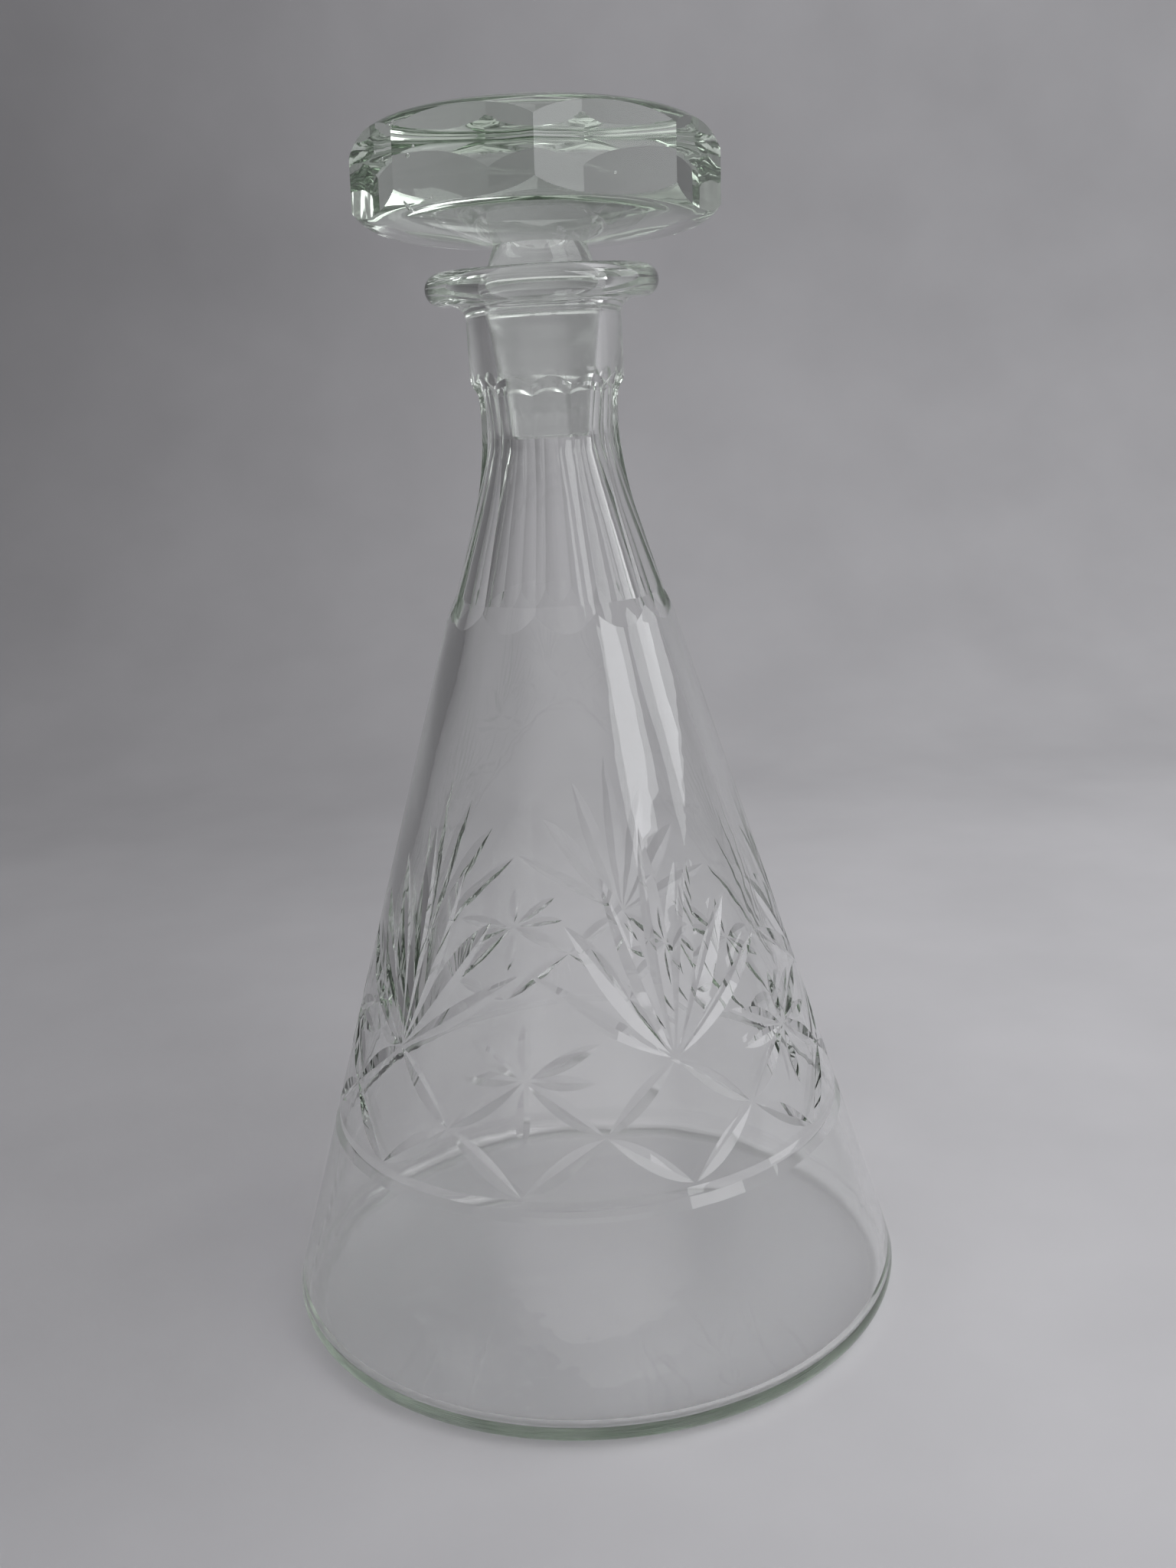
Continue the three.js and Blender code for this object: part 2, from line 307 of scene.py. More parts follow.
def carve(name, blank, steps):
    """Takes a blank through Boolean steps of (operation, tool). Gives back one finished object, and removes
    the blank and the tools."""
    for operation, tool in steps:
        step = blank.modifiers.new(tool.name, "BOOLEAN")
        step.operation, step.object, step.solver = operation, tool, "MANIFOLD"
    mesh = bpy.data.meshes.new_from_object(blank.evaluated_get(bpy.context.evaluated_depsgraph_get()))
    for used in [blank] + [tool for _, tool in steps]:
        bpy.data.meshes.remove(used.data)
    mesh.name = name
    mesh.materials.clear()
    return place_in_scene(name, mesh)


def grind(mesh, low, high, radius):
    """Gives a ground finish to the faces whose middles are between two heights and nearer the axis than a
    radius, all in millimetres."""
    middles = np.empty(len(mesh.polygons) * 3, np.float32)
    mesh.polygons.foreach_get("center", middles)
    x, y, z = middles.reshape(-1, 3).T / MM
    finish = np.empty(len(mesh.polygons), np.float32)
    mesh.attributes["finish"].data.foreach_get("value", finish)
    finish[(z > low) & (z < high) & (np.hypot(x, y) < radius)] = GROUND
    mesh.attributes["finish"].data.foreach_set("value", finish)


def crease(mesh):
    """Smooths every face, and marks an edge sharp where its two faces turn by more than the crease angle or
    have different finishes."""
    loop_edges = np.empty(len(mesh.loops), np.int32)
    mesh.loops.foreach_get("edge_index", loop_edges)
    sides = np.empty(len(mesh.polygons), np.int32)
    mesh.polygons.foreach_get("loop_total", sides)
    normals = np.empty(len(mesh.polygons) * 3, np.float32)
    mesh.polygons.foreach_get("normal", normals)
    normals = normals.reshape(-1, 3)
    finish = np.empty(len(mesh.polygons), np.float32)
    mesh.attributes["finish"].data.foreach_get("value", finish)
    face_of_loop = np.repeat(np.arange(len(sides)), sides)
    first, second = face_of_loop[np.argsort(loop_edges, kind="stable")].reshape(-1, 2).T
    turn = np.einsum("ij,ij->i", normals[first], normals[second])
    sharp = (turn < math.cos(math.radians(CREASE_ANGLE))) | (finish[first] != finish[second])
    mesh.polygons.foreach_set("use_smooth", np.ones(len(sides), bool))
    mesh.attributes.new("sharp_edge", "BOOLEAN", "EDGE").data.foreach_set("value", sharp)


# Body

# The cone's outer line touches the heel's arc and runs to the foot of the neck
HEEL_CENTRE = BODY_RADIUS - HEEL_RADIUS
CONE_TILT = math.atan2(HEEL_CENTRE - NECK_RADIUS, CONE_TOP - HEEL_RADIUS) + math.asin(
    HEEL_RADIUS / math.hypot(HEEL_CENTRE - NECK_RADIUS, CONE_TOP - HEEL_RADIUS))
INNER_FOOT_RADIUS = BODY_RADIUS - WALL_AT_HEEL
INNER_TILT = math.atan2(INNER_FOOT_RADIUS - NECK_RADIUS + WALL_AT_NECK / math.cos(CONE_TILT),
                        CONE_TOP - HEEL_RADIUS)
PLUG_SLOPE = (PLUG_TOP_RADIUS - PLUG_BOTTOM_RADIUS) / (PLUG_TOP - PLUG_BOTTOM)
PLUG_TILT = math.atan(PLUG_SLOPE)


def cone_radius(z):
    """The cone's outer radius at a height."""
    return NECK_RADIUS + math.tan(CONE_TILT) * (CONE_TOP - z)


def inner_radius(z):
    """The cone's inner radius at a height."""
    return INNER_FOOT_RADIUS - math.tan(INNER_TILT) * (z - HEEL_RADIUS)


def bore_radius(z):
    """The ground bore's radius at a height: the plug's taper and the clearance beside it."""
    return PLUG_BOTTOM_RADIUS + PLUG_SLOPE * (z - PLUG_BOTTOM) + SEAT_CLEARANCE / math.cos(PLUG_TILT)


def outer_section():
    """The body's section from the axis under the foot, over the heel, ring, cone, neck and lip to its top."""
    tilt = math.degrees(CONE_TILT)
    fillet = LIP_TOP - LIP_THICKNESS - LIP_FILLET
    heel = arc((HEEL_CENTRE, HEEL_RADIUS), HEEL_RADIUS, -90, tilt, HEEL_STEPS)
    low, high = ((cone_radius(z), z) for z in (RING_HEIGHT - RING_WIDTH / 2, RING_HEIGHT + RING_WIDTH / 2))
    groove = (cone_radius(RING_HEIGHT) - RING_DEPTH, RING_HEIGHT)
    lip_centre = (LIP_RADIUS - LIP_THICKNESS / 2, LIP_TOP - LIP_THICKNESS / 2)
    return np.concatenate([
        dome(HEEL_CENTRE - FOOT_RING_WIDTH, 0, PUSH_UP),
        heel,
        run(heel[-1], low, WALL_SPACING),
        run(low, groove, EDGE_SPACING),
        run(groove, high, EDGE_SPACING),
        run(high, (NECK_RADIUS, CONE_TOP), WALL_SPACING),
        run((NECK_RADIUS, CONE_TOP), (NECK_RADIUS, fillet), WALL_SPACING),
        arc((NECK_RADIUS + LIP_FILLET, fillet), LIP_FILLET, 180, 90, ROUNDING_STEPS)[1:],
        arc(lip_centre, LIP_THICKNESS / 2, -90, 90, LIP_STEPS),
    ])


def inner_section():
    """The body's section from the mouth's edge down the ground bore, round the throat and down the inside of
    the cone to the axis on the floor."""
    tilt, plug_tilt = math.degrees(INNER_TILT), math.degrees(PLUG_TILT)
    throat = (inner_radius(0) - bore_radius(0)) / (math.tan(INNER_TILT) + PLUG_SLOPE)
    throat_start = throat + THROAT_ROUNDING * math.tan((INNER_TILT + PLUG_TILT) / 2) * math.cos(PLUG_TILT)
    throat_centre = (bore_radius(throat_start) + THROAT_ROUNDING * math.cos(PLUG_TILT),
                     throat_start - THROAT_ROUNDING * math.sin(PLUG_TILT))
    heel_height = FLOOR + INNER_HEEL_RADIUS
    heel_centre = inner_radius(heel_height) - INNER_HEEL_RADIUS / math.cos(INNER_TILT)
    mouth_centre = (MOUTH_RADIUS + MOUTH_ROUNDING, LIP_TOP - MOUTH_ROUNDING)
    mouth = arc(mouth_centre, MOUTH_ROUNDING, 90, 180, ROUNDING_STEPS)
    seat = (bore_radius(PLUG_TOP), PLUG_TOP)
    rounded = arc(throat_centre, THROAT_ROUNDING, 180 - plug_tilt, 180 + tilt, ROUNDING_STEPS)
    heel = arc((heel_centre, heel_height), INNER_HEEL_RADIUS, tilt, -90, HEEL_STEPS)
    return np.concatenate([
        mouth,
        run(mouth[-1], seat, MOUTH_SPACING),
        run(seat, rounded[0], TAPER_SPACING),
        rounded[1:],
        run(rounded[-1], heel[0], WALL_SPACING),
        heel[1:],
        dome(heel_centre, FLOOR, PUSH_UP)[-2::-1],
    ])


def ripple(z, azimuth, depth, start):
    """The slight unevenness of blown glass: depth times a sum of three slow waves round and up the wall. It
    fades out at the heel and below the neck, where the mould and the wheel made the glass true."""
    z, azimuth = z[:, None], azimuth[None, :]
    waves = sum(share * np.sin(times * azimuth + rise * z + factor * start)
                for share, times, rise, factor in RIPPLE_WAVES)
    edge = np.clip(np.minimum((z - RIPPLE_BOTTOM) / RIPPLE_FADE, (RIPPLE_TOP - z) / RIPPLE_FADE), 0, 1)
    return depth * edge * edge * (3 - 2 * edge) * waves


def flute_cutter(azimuth):
    """The wheel's way down the flute, seen from the side: out along the end facet, up along the cone's tilt,
    round the waist on an arc of the wheel's radius, and out over its rounded top. Across the flute by x, all
    that is above the waist lies lower by its share of the way to the top times x^2 / (2 arch)."""
    tilt, end_tilt = math.degrees(CONE_TILT), math.radians(FLUTE_END_TILT)
    top = FLUTE_TOP - FLUTE_TOP_ROUNDING
    high = math.degrees(math.asin((top - FLUTE_WAIST) / FLUTE_WHEEL_RADIUS))
    bend_centre = (FLUTE_WAIST_RADIUS + FLUTE_WHEEL_RADIUS, FLUTE_WAIST)
    bend = arc(bend_centre, FLUTE_WHEEL_RADIUS, 180 + tilt, 180 - high, FLUTE_STEPS)
    sunk = (cone_radius(bend[0, 1]) - bend[0, 0]) * math.cos(CONE_TILT)
    facet = sunk / math.sin(end_tilt)
    corner_height = FLUTE_FOOT + sunk / math.tan(end_tilt) * math.cos(CONE_TILT)
    corner = np.array([bend[0, 0] + math.tan(CONE_TILT) * (bend[0, 1] - corner_height), corner_height])
    foot = corner + 2 * facet * np.array([math.sin(CONE_TILT + end_tilt), -math.cos(CONE_TILT + end_tilt)])
    end = arc((bend[-1, 0] + FLUTE_TOP_ROUNDING, top), FLUTE_TOP_ROUNDING, 180, 90, ROUNDING_STEPS)[1:]
    outside = [(BODY_RADIUS, FLUTE_TOP), (BODY_RADIUS, foot[1])]
    outline = np.concatenate([[foot], run(corner, bend[0], TAPER_SPACING), bend[1:], end, outside])
    across = np.linspace(-NECK_RADIUS / 2, NECK_RADIUS / 2, FLUTE_COLUMNS)[:, None]
    share = np.clip((outline[:, 1] - FLUTE_WAIST) / (FLUTE_TOP - FLUTE_WAIST), 0, 1)
    rings = np.empty((len(across), len(outline), 3))
    rings[..., 0], rings[..., 1] = across, -outline[:, 0]
    rings[..., 2] = outline[:, 1] - share * across ** 2 / (2 * FLUTE_ARCH)
    rings = turned(rings, azimuth)
    return shell(rings, *rings.mean(axis=1)[[0, -1]])


def cone_point(azimuth, height):
    """Places on the cone, from azimuths in degrees and heights."""
    turn = np.radians(azimuth)
    r = cone_radius(height)
    return np.stack([r * np.sin(turn), -r * np.cos(turn), height], axis=-1)


def cone_outward(azimuth):
    """The cone's outward direction at azimuths in degrees."""
    turn = np.radians(azimuth)
    across = math.cos(CONE_TILT)
    up = np.full(np.shape(turn), math.sin(CONE_TILT))
    return np.stack([across * np.sin(turn), -across * np.cos(turn), up], axis=-1)


def mitre_cutter(start, end, width):
    """One V-shaped cut between two places, each an azimuth and a height, with its copies round the cone. Its
    depth in the middle is width / 2 over the tangent of the V's half angle. The cone bulges over the chord
    between the places: where the bulge is less than the depth, the keel is sunk under the chord by
    (depth - bulge) (1 - s^2), with s from -1 to 1 along the cut. Otherwise the keel bows out to the cone by
    the share 1 - depth / bulge, and the V's sides turn with it by that share."""
    spread = math.tan(math.radians(MITRE_HALF_ANGLE))
    depth = width / 2 / spread
    s = CUTTER_REACH * np.linspace(-1, 1, CUT_STEPS + 1)[:, None]
    start, end = np.array(start, float), np.array(end, float)
    azimuth, height = (start + (end - start) * (1 + s) / 2).T
    first, last = cone_point(*start), cone_point(*end)
    middle, outward = cone_point(*(start + end) / 2), cone_outward((start[0] + end[0]) / 2)
    bulge = float((middle - (first + last) / 2) @ outward)
    share = max(bulge - depth, 0) / max(bulge, depth)
    chord = (first + last + s * (last - first)) / 2
    base = chord + share * (cone_point(azimuth, height) - chord)
    outward = outward + share * (cone_outward(azimuth) - outward)
    outward /= np.linalg.norm(outward, axis=1)[:, None]
    side = np.cross(np.gradient(base, axis=0), outward)
    side /= np.linalg.norm(side, axis=1)[:, None]
    keel = base - max(depth - bulge, 0) * (1 - s ** 2) * outward
    opening = depth + CUTTER_PROUD
    right, left = (keel + opening * (outward + hand * spread * side) for hand in (1, -1))
    rings = np.stack([keel, right, left], axis=1)
    return [shell(turned(rings[1:-1], turn), turned(keel[0], turn), turned(keel[-1], turn))
            for turn in np.arange(REPEATS) * 360 / REPEATS]


def place_from(place, angle, distance):
    """The place on the cone at a distance from another, at an angle from straight up."""
    across = math.degrees(distance * math.sin(math.radians(angle)) / cone_radius(place[1]))
    return place[0] + across, place[1] + distance * math.cos(math.radians(angle)) * math.cos(CONE_TILT)


def pattern_cutters():
    """A list of the pattern's cuts. Each one has its copies in all the repeats, which are clear of each
    other."""
    half = 180 / REPEATS
    net_foot = RING_HEIGHT + RING_WIDTH / 2 + NET_TO_RING
    cuts = []
    for centre, rays, width in ((FAN, FAN_RAYS, FAN_RAY_WIDTH), (STAR, STAR_RAYS, STAR_RAY_WIDTH)):
        cuts += [(place_from(centre, angle, RAY_START), place_from(centre, angle, length), width)
                 for angle, length in rays]
    for hand in (-1, 1):
        beside_fan = (FAN[0] + hand * half / 2, CROSSING_HEIGHT)
        beside_star = (STAR[0] + hand * half / 2, CROSSING_HEIGHT)
        cuts += [(FAN, (FAN[0] + hand * half, ARCH_HEIGHT), NET_WIDTH),
                 (FAN, beside_fan, NET_WIDTH), (beside_fan, (FAN[0], net_foot), NET_WIDTH),
                 (STAR, beside_star, NET_WIDTH), (beside_star, (STAR[0], net_foot), NET_WIDTH)]
    return [mitre_cutter(*cut) for cut in cuts]


def make_body():
    """The blown vessel, spun from its section, with its flutes and pattern cut and its bore ground."""
    outer, inner = outer_section(), inner_section()

    def swell(azimuth):
        out = ripple(outer[:, 1], azimuth, OUTER_RIPPLE, OUTER_RIPPLE_START)
        out -= OUTER_RIPPLE * (outer[:, 1:] > 0)
        return np.concatenate([out, ripple(inner[:, 1], azimuth, INNER_RIPPLE, INNER_RIPPLE_START)])

    rings = spin(np.concatenate([outer, inner]), swell)
    blank = solid("blank", [shell(rings, (0, 0, PUSH_UP), (0, 0, FLOOR + PUSH_UP))], BLOWN)
    step = 360 / FLUTE_COUNT
    turns = np.arange(FLUTES_PER_TOOL) * 360 / FLUTES_PER_TOOL
    tools = [solid(f"flutes_{k}", [flute_cutter(FLUTE_EDGE_AZIMUTH + step * (k + 0.5) + turn)
                                   for turn in turns], POLISHED_CUT)
             for k in range(FLUTE_COUNT // FLUTES_PER_TOOL)]
    tools += [solid(f"cut_{k}", copies, POLISHED_CUT) for k, copies in enumerate(pattern_cutters())]
    body = carve("cut_glass_body", blank, [("DIFFERENCE", tool) for tool in tools])
    grind(body.data, PLUG_BOTTOM, PLUG_TOP, PLUG_TOP_RADIUS + 2 * SEAT_CLEARANCE)
    return body


# Stopper

HEAD_TILT = math.radians(HEAD_UNDERSIDE_TILT)
HEAD_TURN_IN = HEAD_BLANK_RADIUS - HEAD_DROP * (1 - math.sin(HEAD_TILT))
HEAD_DEPTH_AT_STEM = HEAD_DROP * math.cos(HEAD_TILT) + math.tan(HEAD_TILT) * (HEAD_TURN_IN - STEM_RADIUS)
HEAD_HEIGHT = LIP_TOP + HEAD_GAP + HEAD_DEPTH_AT_STEM


def head_section():
    """The pressed head's section, from its widest line: below, an arc into a flat cone towards the stem, and
    above, an arc into a flat top."""
    below = arc((HEAD_BLANK_RADIUS - HEAD_DROP, 0), HEAD_DROP, HEAD_UNDERSIDE_TILT - 90, 0, HEAD_LOWER_STEPS)
    above = arc((HEAD_BLANK_RADIUS - HEAD_RISE, 0), HEAD_RISE, 0, 90, HEAD_UPPER_STEPS)
    stem = (STEM_RADIUS / 2, below[0, 1] - math.tan(HEAD_TILT) * (below[0, 0] - STEM_RADIUS / 2))
    return np.concatenate([
        [stem],
        run(stem, below[0], EDGE_SPACING),
        below[1:],
        above[1:],
        run(above[-1], (HEAD_TIP_RADIUS, HEAD_RISE), EDGE_SPACING),
    ])


def stem_section():
    """The plug's taper with its small bevel, then a stem that narrows towards the head along a quadratic
    curve: (1 - t)^2 plug edge + 2 t (1 - t) pull + t^2 stem edge."""
    low = (PLUG_BOTTOM_RADIUS + PLUG_SLOPE * PLUG_BEVEL, PLUG_BOTTOM + PLUG_BEVEL)
    t = np.linspace(0, 1, STEM_STEPS + 1)[:, None]
    curve = ((1 - t) ** 2 * np.array([PLUG_TOP_RADIUS, PLUG_TOP + PLUG_BEVEL])
             + 2 * t * (1 - t) * np.array([PLUG_TOP_RADIUS, LIP_TOP])
             + t ** 2 * np.array([STEM_RADIUS, LIP_TOP + HEAD_GAP + PLUG_BEVEL]))
    return np.concatenate([
        [(PLUG_BOTTOM_RADIUS - PLUG_BEVEL, PLUG_BOTTOM), low],
        run(low, (PLUG_TOP_RADIUS, PLUG_TOP), TAPER_SPACING),
        curve,
        [(STEM_RADIUS, HEAD_HEIGHT)],
    ])


def seed(place, radius):
    """A round bubble: a half circle spun round, with its first and last 10 degrees closed by the tips."""
    rings = spin(arc((0, 0), radius, -80, 80, SEED_STEPS), columns=SEED_COLUMNS)
    return shell(rings + place, np.array(place) - (0, 0, radius), np.array(place) + (0, 0, radius))


def make_stopper():
    """The stopper: a spun head cut to its flat sides, a spun stem and plug, and the bubbles in the head."""
    lean = np.array(Matrix.Rotation(-math.radians(HEAD_LEAN_BACK), 3, "X")
                    @ Matrix.Rotation(math.radians(HEAD_LEAN_RIGHT), 3, "Y"))

    def placed(points):
        return np.asarray(points, float) @ lean.T + (0, 0, HEAD_HEIGHT)

    section = head_section()
    head = shell(placed(spin(section)), *placed([(0, 0, section[0, 1]), (0, 0, HEAD_RISE)]))
    tall = HEAD_RISE + HEAD_DROP
    corner = np.radians(np.arange(HEAD_SIDES) * 360 / HEAD_SIDES)
    prism = np.stack([np.stack([HEAD_CORNER_RADIUS * np.sin(corner), -HEAD_CORNER_RADIUS * np.cos(corner),
                                np.full(HEAD_SIDES, z)], axis=1) for z in (-tall, tall)])
    facets = shell(placed(prism), *placed([(0, 0, -tall), (0, 0, tall)]))
    stem = shell(spin(stem_section()), (0, 0, PLUG_BOTTOM), (0, 0, HEAD_HEIGHT))
    stopper = carve("glass_stopper", solid("pressed_head", [head], BLOWN), [
        ("INTERSECT", solid("facets", [facets], POLISHED_CUT)),
        ("UNION", solid("stem", [stem], BLOWN)),
        ("DIFFERENCE", solid("seeds", [seed(*one) for one in SEEDS], BLOWN)),
    ])
    grind(stopper.data, PLUG_BOTTOM + PLUG_BEVEL, PLUG_TOP, PLUG_TOP_RADIUS + SEAT_CLEARANCE)
    return stopper


# Shader nodes

def put(tree, kind, inputs=None, **settings):
    """A node with its settings, and its inputs set to plain values or linked from sockets."""
    node = tree.nodes.new("ShaderNode" + kind)
    for name, value in settings.items():
        setattr(node, name, value)
    for name, value in (inputs or {}).items():
        if isinstance(value, bpy.types.NodeSocket):
            tree.links.new(value, node.inputs[name])
        else:
            node.inputs[name].default_value = value
    return node


def noise(tree, place, scale, detail, roughness=0.5):
    """A noise value at a place."""
    inputs = {"Vector": place, "Scale": scale, "Detail": detail, "Roughness": roughness}
    return put(tree, "TexNoise", inputs).outputs["Fac"]


def remap(tree, value, start, end, smooth=False):
    """A value carried from one range to another and held at its ends, evenly or along an easy curve."""
    inputs = {"Value": value, "From Min": start[0], "From Max": start[1], "To Min": end[0], "To Max": end[1]}
    curve = "SMOOTHSTEP" if smooth else "LINEAR"
    return put(tree, "MapRange", inputs, interpolation_type=curve).outputs[0]


def calculate(tree, operation, *values):
    """One step of arithmetic with numbers and sockets."""
    return put(tree, "Math", dict(enumerate(values)), operation=operation).outputs[0]


def mixed(tree, share, low, high):
    """A number between two others, by a share."""
    return put(tree, "Mix", {"Factor": share, 2: low, 3: high}).outputs[0]


def stretched(tree, place, factors):
    """A place with each of its coordinates multiplied by a factor."""
    return put(tree, "VectorMath", {0: place, 1: factors}, operation="MULTIPLY").outputs[0]


def facing(tree, heading, direction):
    """How nearly a heading points in a direction: their dot product."""
    return put(tree, "VectorMath", {0: heading, 1: direction}, operation="DOT_PRODUCT").outputs["Value"]


def group(name, inputs, outputs):
    """An empty shader node group whose sockets are numbers, with its input and output nodes."""
    tree = bpy.data.node_groups.new(name, "ShaderNodeTree")
    for way, sockets in (("INPUT", inputs), ("OUTPUT", outputs)):
        for socket in sockets:
            tree.interface.new_socket(socket, in_out=way, socket_type="NodeSocketFloat")
    return tree, tree.nodes.new("NodeGroupInput"), tree.nodes.new("NodeGroupOutput")


# Glass

def handling():
    """How rough the polished glass is: a faint haze in soft patches where hands and cloths have been, fine
    scuffs on the ring it stands on, and the wheel's lines left in the cuts."""
    tree, given, result = group("handling", ["Cut"], ["Roughness"])
    place = put(tree, "TexCoord").outputs["Object"]
    patches = remap(tree, noise(tree, place, 34, 3, 0.6), (0.56, 0.74), (0, HAZE_ROUGHNESS), smooth=True)
    wiped = noise(tree, stretched(tree, place, (1, 1, 0.2)), 620, 2)
    haze = calculate(tree, "MULTIPLY", patches, wiped)
    height = put(tree, "SeparateXYZ", {0: place}).outputs["Z"]
    foot = remap(tree, height, (0.0006, 0.0001), (0, 1))
    grit = remap(tree, noise(tree, place, 900, 3, 0.7), (0.4, 0.7), (0, SCUFF_ROUGHNESS))
    scuffs = calculate(tree, "MULTIPLY", foot, grit)
    lines = remap(tree, wiped, (0.3, 0.7), (0, CUT_ROUGHNESS))
    cut = calculate(tree, "MULTIPLY", given.outputs["Cut"], lines)
    total = calculate(tree, "ADD", calculate(tree, "ADD", haze, scuffs), cut)
    tree.links.new(total, result.inputs["Roughness"])
    return tree


def grinding():
    """The ground joint: how rough it is, with the lines that turning it in the neck has left round it, and
    how much light its frosting lets through."""
    tree, given, result = group("grinding", ["Ground"], ["Roughness", "Clearness"])
    place = put(tree, "TexCoord").outputs["Object"]
    rings = noise(tree, stretched(tree, place, (60, 60, 2400)), 1, 2)
    turns = remap(tree, rings, (0.3, 0.7), JOINT_ROUGHNESS)
    worn = remap(tree, noise(tree, place, 130, 3), (0.35, 0.6), (0.45, 1))
    frost = calculate(tree, "MULTIPLY", turns, worn)
    rough = calculate(tree, "MULTIPLY", frost, given.outputs["Ground"])
    tree.links.new(rough, result.inputs["Roughness"])
    tree.links.new(remap(tree, rough, (0, 0.3), (1, 0.95)), result.inputs["Clearness"])
    return tree


def wavering():
    """The surface's slow unevenness, from a gather that cooled as it was blown, as a height from 0 to 1."""
    tree, _, result = group("wavering", [], ["Height"])
    place = put(tree, "TexCoord").outputs["Object"]
    height = mixed(tree, 0.22, noise(tree, place, 45, 1), noise(tree, place, 170, 1))
    tree.links.new(height, result.inputs["Height"])
    return tree


def glass(name, groups):
    """Pale grey-green soda glass: clear in a thin wall, and tinted where light goes through a lot of it."""
    worn, ground_in, uneven = groups
    material = bpy.data.materials.new(name)
    material.use_nodes = True
    tree = material.node_tree
    tree.nodes.clear()
    finish = put(tree, "Attribute", attribute_name="finish").outputs["Fac"]
    ground = remap(tree, finish, (POLISHED_CUT, GROUND), (0, 1))
    cut = calculate(tree, "COMPARE", finish, POLISHED_CUT, FINISH_MARGIN)
    handled = put(tree, "Group", {"Cut": cut}, node_tree=worn).outputs["Roughness"]
    joint = put(tree, "Group", {"Ground": ground}, node_tree=ground_in).outputs
    rough = calculate(tree, "MAXIMUM", handled, joint["Roughness"])
    clear = joint["Clearness"]
    tone = put(tree, "CombineXYZ", {"X": clear, "Y": clear, "Z": clear})
    height = put(tree, "Group", node_tree=uneven).outputs["Height"]
    bump = put(tree, "Bump", {"Strength": 1, "Distance": GLASS_UNEVENNESS, "Height": height})
    shader = put(tree, "BsdfPrincipled", {
        "Base Color": tone.outputs[0], "Roughness": rough, "IOR": GLASS_IOR, "Normal": bump.outputs[0],
        "Transmission Weight": 1})
    depth = put(tree, "VolumeAbsorption", {"Color": GLASS_TINT, "Density": GLASS_DENSITY})
    put(tree, "OutputMaterial", {"Surface": shader.outputs[0], "Volume": depth.outputs[0]})
    return material


# Room

def add_camera():
    """The photograph's view: from in front and a little under the top, dipped down and leaning a little."""
    yaw, pitch, roll = (math.radians(v) for v in CAMERA_TURN)
    forward = Vector((math.sin(yaw) * math.cos(pitch), math.cos(yaw) * math.cos(pitch), -math.sin(pitch)))
    level = Vector((math.cos(yaw), -math.sin(yaw), 0))
    upward = level.cross(forward)
    right = math.cos(roll) * level + math.sin(roll) * upward
    up = -math.sin(roll) * level + math.cos(roll) * upward
    data = bpy.data.cameras.new("camera")
    data.sensor_width = SENSOR_WIDTH
    data.lens = SENSOR_WIDTH * CAMERA_LENGTH
    data.clip_start, data.clip_end = CAMERA_REACH
    camera = place_in_scene("camera", data)
    camera.matrix_world = Matrix((right, up, -forward)).transposed().to_4x4()
    camera.location = Vector(CAMERA_PLACE) * MM
    bpy.context.scene.camera = camera


def paper_with_painted_shade():
    """Pale paper with painted shade: a little darker to the left and up the backdrop, with a faint mottle of
    painted soft shade in place of folds.
    """
    paper = bpy.data.materials.new("paper_with_painted_shade")
    paper.use_nodes = True
    tree = paper.node_tree
    place = put(tree, "TexCoord").outputs["Object"]
    where = put(tree, "SeparateXYZ", {0: place}).outputs
    # Painted shade: the floor and backdrop tones darken towards the left, and the backdrop is painted darker
    # than the floor
    floor = remap(tree, where["X"], (-0.2, 0.15), FLOOR_TONES_WITH_PAINTED_SHADE, smooth=True)
    wall = remap(tree, where["X"], (-0.45, 0.1), WALL_TONES_WITH_PAINTED_SHADE, smooth=True)
    rise = remap(tree, where["Y"], (0.2, 0.75), (0, 1), smooth=True)
    # Painted soft shade: a faint mottle that stands in for the shade of folds
    painted_fold_shade = remap(tree, noise(tree, place, 14, 4), (0.3, 0.7), (0.96, 1.04))
    light = calculate(tree, "MULTIPLY", mixed(tree, rise, floor, wall), painted_fold_shade)
    tint = put(tree, "VectorMath", {0: PAPER_TINT, "Scale": light}, operation="SCALE")
    shader = tree.nodes["Principled BSDF"]
    tree.links.new(tint.outputs[0], shader.inputs["Base Color"])
    shader.inputs["Roughness"].default_value = 1
    shader.inputs["Specular IOR Level"].default_value = 0
    return paper


def add_sweep():
    """Floor that curves up into a backdrop: flat, then a quarter circle, then upright, carried across from
    side to side."""
    bend_start = SWEEP_WALL - SWEEP_BEND
    section = np.concatenate([
        [(-SWEEP_REACH, 0)],
        run((-SWEEP_REACH, 0), (bend_start, 0), SWEEP_SPACING),
        arc((bend_start, SWEEP_BEND), SWEEP_BEND, -90, 0, SWEEP_BEND_STEPS)[1:],
        run((SWEEP_WALL, SWEEP_BEND), (SWEEP_WALL, SWEEP_TOP), SWEEP_SPACING),
    ]) - (0, UNDER_FOOT)
    across = np.linspace(-SWEEP_REACH, SWEEP_REACH, SWEEP_COLUMNS)
    grid = np.empty((len(section), len(across), 3))
    grid[..., 0], grid[..., 1], grid[..., 2] = across, section[:, :1], section[:, 1:]
    index = np.arange(grid[..., 0].size).reshape(grid.shape[:2])
    faces = np.stack([index[:-1, :-1], index[:-1, 1:], index[1:, 1:], index[1:, :-1]], axis=2).reshape(-1, 4)
    mesh = bpy.data.meshes.new("sweep")
    mesh.from_pydata(grid.reshape(-1, 3) * MM, [], faces.tolist())
    mesh.polygons.foreach_set("use_smooth", np.ones(len(faces), bool))
    sweep = place_in_scene("sweep", mesh)
    mesh.materials.append(paper_with_painted_shade())


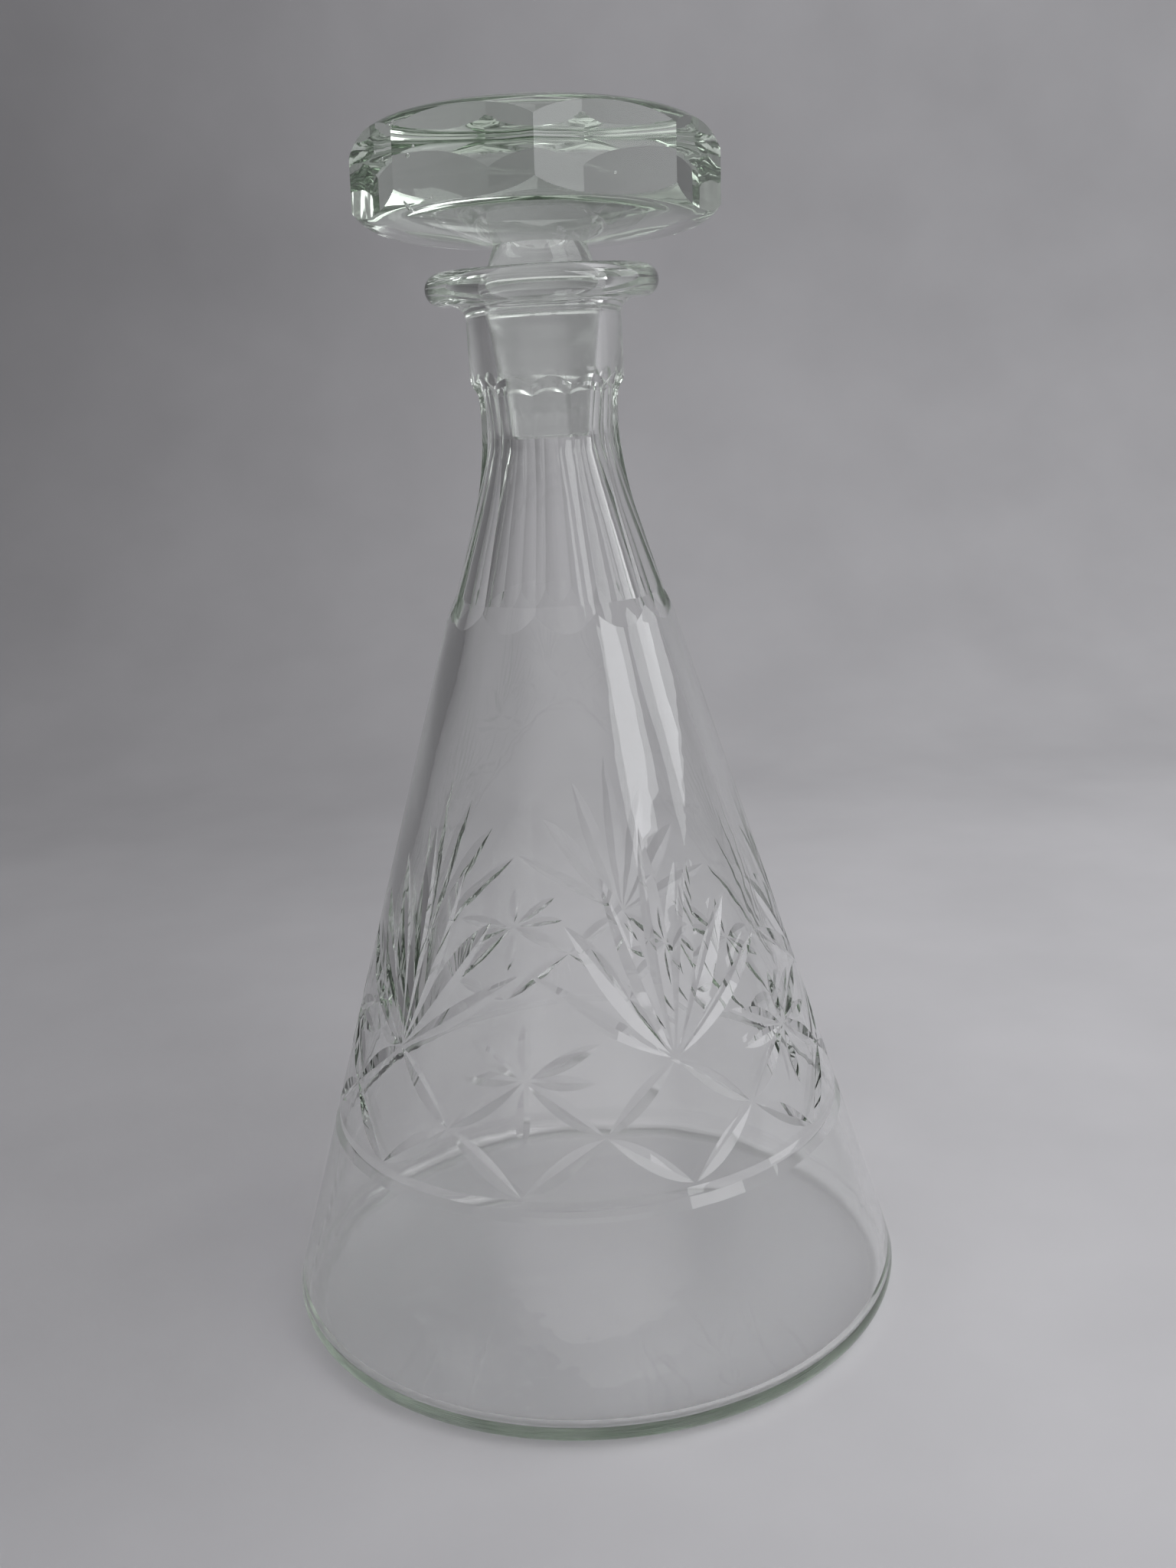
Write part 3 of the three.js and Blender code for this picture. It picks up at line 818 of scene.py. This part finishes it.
def add_window(name, azimuths, elevations, radiance):
    """One pane of a tall window to the right and in front, between two azimuths and two elevations."""
    azimuth, elevation = (math.radians(sum(pair) / 2) for pair in (azimuths, elevations))
    toward = Vector((math.sin(azimuth) * math.cos(elevation), -math.cos(azimuth) * math.cos(elevation),
                     math.sin(elevation)))
    half_width, half_height = (math.radians(pair[1] - pair[0]) / 2 for pair in (azimuths, elevations))
    light = bpy.data.lights.new(name, "AREA")
    light.shape = "RECTANGLE"
    light.size = 2 * PANE_DISTANCE * math.cos(elevation) * math.tan(half_width)
    light.size_y = 2 * PANE_DISTANCE * math.tan(half_height)
    light.energy = radiance * math.pi * light.size * light.size_y
    light.color = PANE_COLOUR
    window = place_in_scene(name, light)
    window.location = Vector(PANE_AIM) + toward * PANE_DISTANCE
    window.rotation_euler = toward.to_track_quat("Z", "Y").to_euler()
    window.visible_camera = False


def add_room_light():
    """Light from all round, stronger from the right. Rays that come straight from the camera, or through or
    off glass, see a dimmer room instead, which is paler overhead and in front."""
    world = bpy.data.worlds.new("pale_room")
    world.use_nodes = True
    tree = world.node_tree
    tree.nodes.clear()
    heading = put(tree, "TexCoord").outputs["Generated"]
    side = facing(tree, heading, TO_THE_RIGHT)
    ahead = facing(tree, heading, TO_THE_FRONT)
    height = put(tree, "SeparateXYZ", {0: heading}).outputs["Z"]
    light = remap(tree, side, (-1, 1), ROOM_LIGHT)
    walls = remap(tree, side, (-1, 1), ROOM_WALLS)
    ceiling = remap(tree, height, (0.4, 0.75), (0, ROOM_CEILING), smooth=True)
    front = remap(tree, ahead, (0.7, 1), (0, ROOM_FRONT), smooth=True)
    seen = calculate(tree, "ADD", calculate(tree, "ADD", walls, ceiling), front)
    straight = calculate(tree, "LESS_THAN", put(tree, "LightPath").outputs["Diffuse Depth"], 0.5)
    strength = mixed(tree, straight, light, seen)
    background = put(tree, "Background", {"Color": ROOM_COLOUR, "Strength": strength})
    put(tree, "OutputWorld", {"Surface": background.outputs[0]})
    world.cycles.sampling_method = "NONE"
    bpy.context.scene.world = world


bpy.context.scene.view_settings.view_transform = "Standard"
cycles = bpy.context.scene.cycles
cycles.max_bounces = cycles.transmission_bounces = cycles.glossy_bounces = BOUNCES
cycles.blur_glossy = 0
add_camera()
add_sweep()
for pane, (azimuths, elevations, radiance) in PANES.items():
    add_window(pane, azimuths, elevations, radiance)
add_room_light()

shared = handling(), grinding(), wavering()
for piece, node, body, slot in ((make_body(), "decanter_body", "vessel", "body_glass"),
                                (make_stopper(), "stopper", "stopper", "stopper_glass")):
    crease(piece.data)
    piece.data.materials.append(glass(slot, shared))
    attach(piece, body)
    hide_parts(node)
